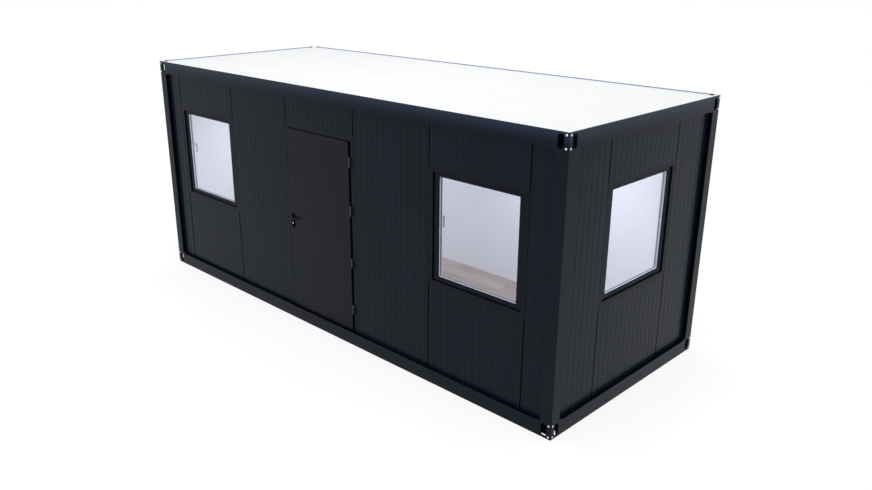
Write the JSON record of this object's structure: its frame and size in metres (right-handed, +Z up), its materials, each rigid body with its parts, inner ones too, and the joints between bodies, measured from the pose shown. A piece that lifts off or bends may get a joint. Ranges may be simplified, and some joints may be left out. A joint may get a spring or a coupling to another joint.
{
  "type": "shipping container cabin",
  "caption": "Flat-roofed panel cabin on a steel corner-post frame with slotted corner fittings, ribbed wall panels, windows and an outward hinged door with a lever handle.",
  "frame": {"origin": "centre of the base on the plane the cabin stands on", "axes": "+X along the length towards the end with the window, +Z up, the door side faces -Y"},
  "size_m": [6.006, 2.406, 2.6],
  "materials": {
    "frame_paint": "satin anthracite paint on folded steel",
    "panel_paint": "satin anthracite coil coating on ribbed panels",
    "trim_paint": "satin anthracite window and door profiles",
    "door_paint": "satin warm anthracite paint",
    "bolt_zinc": "bright zinc",
    "zinc_steel": "zinc coated steel",
    "floor_board": "wood look vinyl on board",
    "ceiling_white": "matt white",
    "roof_white": "matt white coated sheet",
    "glass": "clear double glazing",
    "grey_plastic": "satin grey",
    "hinge_steel": "satin grey paint",
    "handle_black": "matt black",
    "cylinder_steel": "nickel plated"
  },
  "bodies": {
    "cabin": {"base_long_beams": "frame_paint", "base_end_beams": "frame_paint", "roof_long_beams": "frame_paint", "roof_end_beams": "frame_paint", "corner_posts": "frame_paint", "base_front_left_fitting": "frame_paint", "base_front_right_fitting": "frame_paint", "base_back_left_fitting": "frame_paint", "base_back_right_fitting": "frame_paint", "roof_front_left_fitting": "frame_paint", "roof_front_right_fitting": "frame_paint", "roof_back_left_fitting": "frame_paint", "roof_back_right_fitting": "frame_paint", "fitting_bolts": "bolt_zinc", "floor_deck": "floor_board", "floor_cross_members": "zinc_steel", "ceiling": "ceiling_white", "roof_tray": "roof_white", "front_left_strip": "panel_paint", "front_left_window_panels": "panel_paint", "front_left_panel": "panel_paint", "door_head_panel": "panel_paint", "front_right_panel": "panel_paint", "front_right_window_panels": "panel_paint", "front_right_strip": "panel_paint", "right_front_strip": "panel_paint", "right_window_panels": "panel_paint", "right_back_strip": "panel_paint", "left_front_strip": "panel_paint", "left_middle_panel": "panel_paint", "left_back_strip": "panel_paint", "back_wall_panels": "panel_paint", "back_wall_infill_panels": "panel_paint", "window_frames": "trim_paint", "window_sashes": "trim_paint", "window_panes": "glass", "window_handles": "grey_plastic", "door_frame": "trim_paint", "door_frame_hinges": "hinge_steel"},
    "door": {"door_leaf": "door_paint", "door_leaf_hinges": "hinge_steel", "handle_plates": "handle_black", "lock_cylinder": "cylinder_steel"},
    "lever": {"lever_handle": "handle_black"}
  },
  "joints": [
    {"name": "door_swing", "type": "hinge", "parent": "cabin", "child": "door", "pos_m": [0.48, -1.172, 1], "axis": [0, 0, 1], "range_deg": [0, 110]},
    {"name": "lever_turn", "type": "hinge", "parent": "door", "child": "lever", "pos_m": [-0.468, -1.1455, 1.163], "axis": [0, 1, 0], "range_deg": [0, 40], "stiffness_Nm_per_rad": 1.5}
  ]
}
